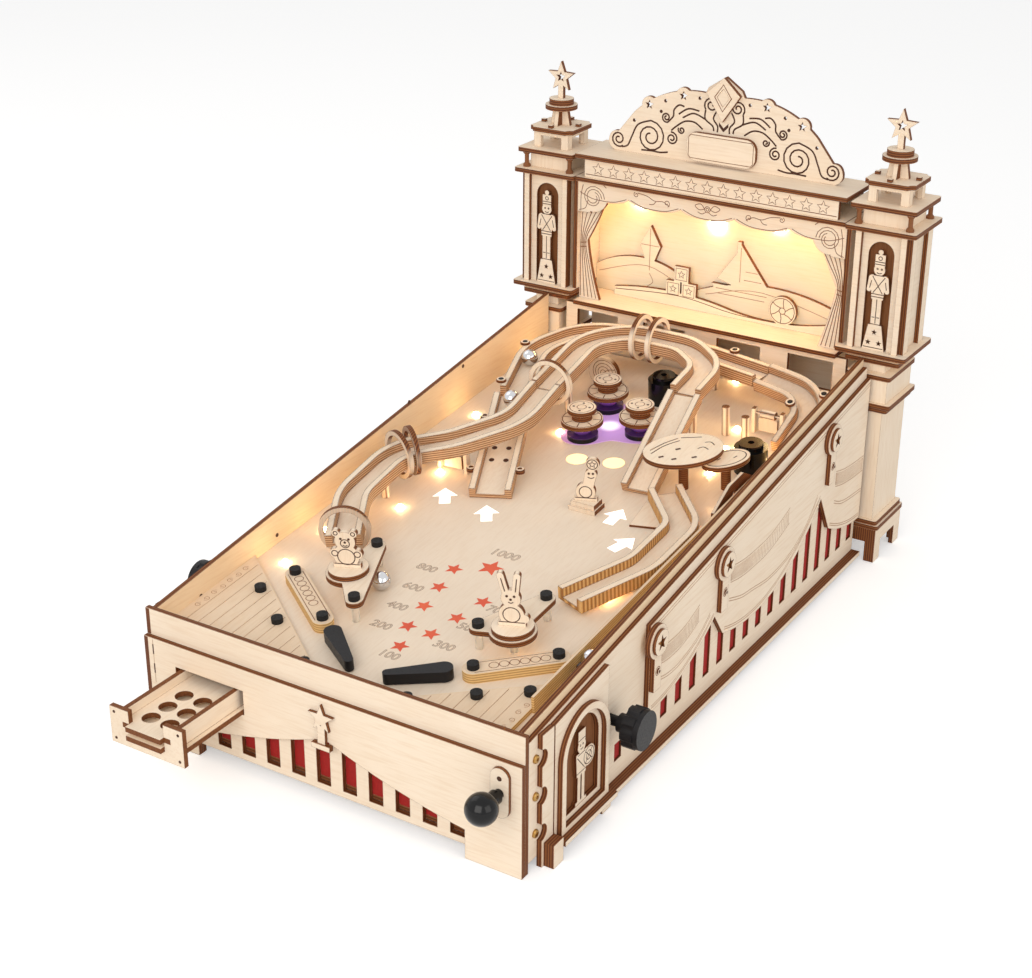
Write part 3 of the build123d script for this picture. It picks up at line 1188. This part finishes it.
guide_plate -= disc(PLUNGER_X, PLUNGER_Z, PLUNGER_R + RUN_FIT)
plunger_guide = facing_front(guide_plate, GUIDE_Y)

# Ball drawer: a floor with a ledge, two rails, a holed tray between them and a notched front
TRAY_HALF = DRAWER_HALF - DRAWER_LEDGE - PLY
TRAY_Z = DRAWER_TOP - TRAY_DEPTH - PLY
HANDLE_Y = DRAWER_FRONT_Y + PLY
DRAWER_REAR_Y = DRAWER_FRONT_Y + DRAWER_LENGTH
DRAWER_FLOOR_Z = DRAWER_Z + 0.05
BOX_Y = HANDLE_Y + PLY
drawer_floor = rect(DRAWER_X - DRAWER_HALF, DRAWER_X + DRAWER_HALF, BOX_Y, DRAWER_REAR_Y)
grip = rect(DRAWER_X - GRIP_HALF, DRAWER_X + GRIP_HALF, DRAWER_FRONT_Y, BOX_Y)
tray_face = rect(DRAWER_X - TRAY_HALF, DRAWER_X + TRAY_HALF, BOX_Y, DRAWER_REAR_Y)
HOLE_PITCH = 13.0
for i in range(3):
    for j in (-0.5, 0.5):
        tray_face -= disc(DRAWER_X + j * HOLE_PITCH, BOX_Y + 8 + i * HOLE_PITCH, DRAWER_HOLE_R)
tray = lying(tray_face + grip, TRAY_Z) + lying(drawer_floor + grip, DRAWER_FLOOR_Z)
rails = []
for side in (-1, 1):
    x = DRAWER_X + side * (TRAY_HALF + PLY / 2)
    rails.append(block(x - PLY / 2, x + PLY / 2, BOX_Y, DRAWER_REAR_Y, DRAWER_FLOOR_Z, DRAWER_TOP))
handle_half = DRAWER_HALF + 2
handle_face = rect(DRAWER_X - handle_half, DRAWER_X + handle_half, HANDLE_LOW, DRAWER_TOP + HANDLE_RISE)
handle_face -= rect(DRAWER_X - GRIP_HALF, DRAWER_X + GRIP_HALF, TRAY_Z + PLY, DRAWER_TOP + HANDLE_RISE)
handle_face -= rect(DRAWER_X - GRIP_HALF, DRAWER_X + GRIP_HALF, DRAWER_FLOOR_Z + PLY, TRAY_Z)
handle = facing_front(handle_face, HANDLE_Y)
ball_drawer = [tray + rails[0] + rails[1] + handle]

# Battery box on the floor, under the board
BATTERY_Y = 110.0
battery_box = [block(-32, 32, BATTERY_Y - 20, BATTERY_Y + 20, FLOOR_Z + PLY, FLOOR_Z + PLY + 16)]

# Steel balls: one in the shooter lane, one on the entry ramp
ball_r = BALL_D / 2
lane_ball = Pos(board_at(LANE_X, STRIKER_Y - FRONT_Y + 12, ball_r + 0.2)) * Sphere(ball_r)
ramp_place, ramp_length = ramp_frame(ENTRY_FOOT, ENTRY_TOP, OUTER_LOOP_H - PLY)
ramp_ball = ramp_place * Pos(0, ramp_length - 9, ball_r + 0.15) * Sphere(ball_r)
FIELD_BALL = (-32.0, 98.5)
field_ball = Pos(board_at(*FIELD_BALL, ball_r + 0.2)) * Sphere(ball_r)
LOOP_START = OUTER_ROUTE[0]
LOOP_TURN = OUTER_ROUTE[1]
LOOP_SHARE = 0.7
loop_x = LOOP_START[0] + LOOP_SHARE * (LOOP_TURN[0] - LOOP_START[0])
loop_v = LOOP_START[1] + LOOP_SHARE * (LOOP_TURN[1] - LOOP_START[1])
loop_ball = Pos(board_at(loop_x, loop_v, OUTER_LOOP_H + ball_r + 0.2)) * Sphere(ball_r)

# Files, one per piece or group of like pieces
write("base_board", base_board)
write("front_panel", front_panel)
write("front_drape", [front_drape, front_emblem, emblem_shelf, plunger_plate])
write("left_wall", left_wall)
write("right_wall", right_wall)
write("side_skins", [left_skin, right_skin])
write("side_drapes", side_drapes)
write("side_medallions", right_medallions + left_medallions)
write("corner_niches", corner_niches)
write("corner_screws", screws)
write("niche_backs", niche_backs)
write("niche_figures", niche_figures)
write("plinth_strips", plinth_strips + pedestal_feet)
write("red_backing", red_backing)
write("rear_wall", [rear_wall, under_panel])
write("pedestals", pedestals + tower_caps)
write("pedestal_plates", pedestal_plates)
write("tower_decks", tower_decks)
write("tower_faces", tower_faces)
write("tower_sides", tower_sides)
write("tower_soldiers", tower_soldiers)
write("finials", finial_necks + finial_stars)
write("stage_shelves", stage_shelves)
write("stage_back", stage_back + scene_cutouts)
write("valance", valance)
write("curtains", curtains)
write("star_band", [star_band, band_back])
write("pediment", pediment)
write("playfield", playfield)
write("light_windows", light_windows)
write("board_ribs", [*ribs, *runners, plunger_guide])
write("aprons", aprons)
write("rubber_posts", rubber_posts)
write("slingshot_decks", sling_decks)
write("toy_figures", toy_figures)
write("bumper_caps", bumper_caps)
write("bumper_bases", bumper_bases + ball_pots)
write("outer_loop", [outer_loop, orbit])
write("inner_loop", inner_loop)
write("return_track", return_track)
write("right_track", right_track)
write("track_ramps", track_ramps)
write("track_hoops", track_hoops)
write("track_posts", track_posts)
write("target_frames", target_frames)
write("cover_plates", cover_plates)
write("battery_box", battery_box)
write("plunger", plunger)
write("plunger_spring", plunger_spring)
write("ball_drawer", ball_drawer)
write("left_flipper", flipper("left"))
write("right_flipper", flipper("right"))
write("left_button", button("left"))
write("right_button", button("right"))
write("left_swing_target", swing_targets["left"])
write("right_swing_target", swing_targets["right"])
write("lane_ball", lane_ball)
write("ramp_ball", ramp_ball)
write("field_ball", field_ball)
write("loop_ball", loop_ball)
